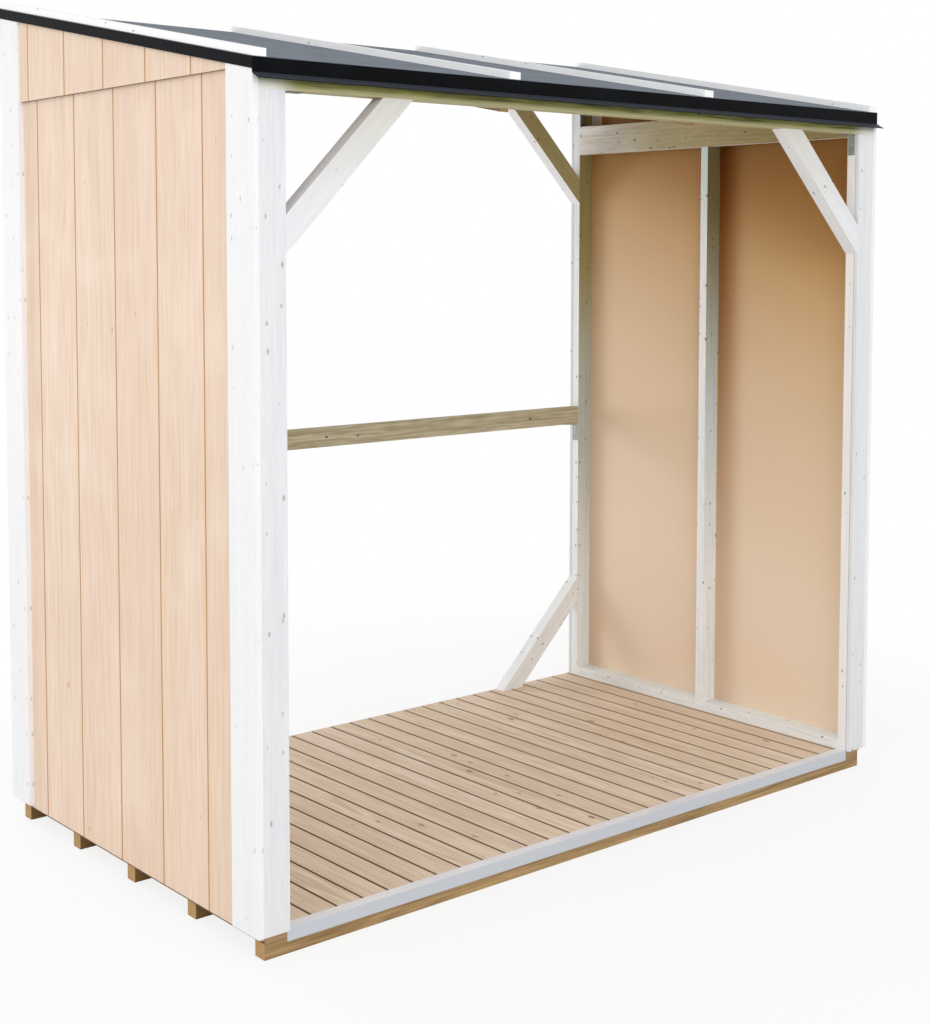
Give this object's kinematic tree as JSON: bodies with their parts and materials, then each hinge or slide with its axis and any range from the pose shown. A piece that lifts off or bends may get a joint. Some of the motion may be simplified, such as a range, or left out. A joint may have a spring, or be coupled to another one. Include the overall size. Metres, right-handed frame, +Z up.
{
  "type": "log store",
  "caption": "Lean-to log store with a slatted deck on bearers, clad side walls, an open braced front and back, and a pitched felt roof with battens.",
  "frame": {"origin": "under the middle of the deck, on the ground", "axes": "+X along the open front to the right as seen from the front, +Y from front to back, +Z up"},
  "size_m": [2.193, 1.272, 2.2188],
  "materials": {
    "treated_softwood": "sawn and pressure treated",
    "white_frame_timber": "planed and white stained",
    "white_boards": "planed and painted white",
    "clad_panel": "grooved board with a pale grain face",
    "roof_boarding": "strand board",
    "roof_felt": "mineral-faced felt",
    "black_flashing": "folded sheet, satin black",
    "pale_trim": "folded sheet, pale grey",
    "zinc_plate": "galvanised"
  },
  "bodies": {
    "root": {"bearers": "treated_softwood", "deck_boards": "treated_softwood", "front_header": "treated_softwood", "front_fascia": "treated_softwood", "back_header": "treated_softwood", "back_fascia": "treated_softwood", "back_middle_rail": "treated_softwood", "left_gable_rafter": "treated_softwood", "right_gable_rafter": "treated_softwood", "middle_rafters": "treated_softwood", "left_sole_plate": "white_frame_timber", "right_sole_plate": "white_frame_timber", "front_left_post": "white_frame_timber", "front_right_post": "white_frame_timber", "back_left_post": "white_frame_timber", "back_right_post": "white_frame_timber", "left_side_beam": "white_frame_timber", "right_side_beam": "white_frame_timber", "left_middle_stud": "white_frame_timber", "right_middle_stud": "white_frame_timber", "front_left_brace": "white_frame_timber", "front_right_brace": "white_frame_timber", "back_left_top_brace": "white_frame_timber", "back_right_top_brace": "white_frame_timber", "back_left_foot_brace": "white_frame_timber", "back_right_foot_brace": "white_frame_timber", "left_front_side_board": "white_boards", "left_back_side_board": "white_boards", "right_front_side_board": "white_boards", "right_back_side_board": "white_boards", "front_left_board": "white_boards", "front_right_board": "white_boards", "back_left_board": "white_boards", "back_right_board": "white_boards", "roof_battens": "white_boards", "left_lower_panel": "clad_panel", "right_lower_panel": "clad_panel", "left_upper_panel": "clad_panel", "right_upper_panel": "clad_panel", "roof_boarding": "roof_boarding", "roof_felt": "roof_felt", "front_drip_flashing": "black_flashing", "back_drip_flashing": "black_flashing", "left_rake_flashing": "black_flashing", "right_rake_flashing": "black_flashing", "deck_edge_trim": "pale_trim", "angle_brackets": "zinc_plate"}
  },
  "joints": []
}
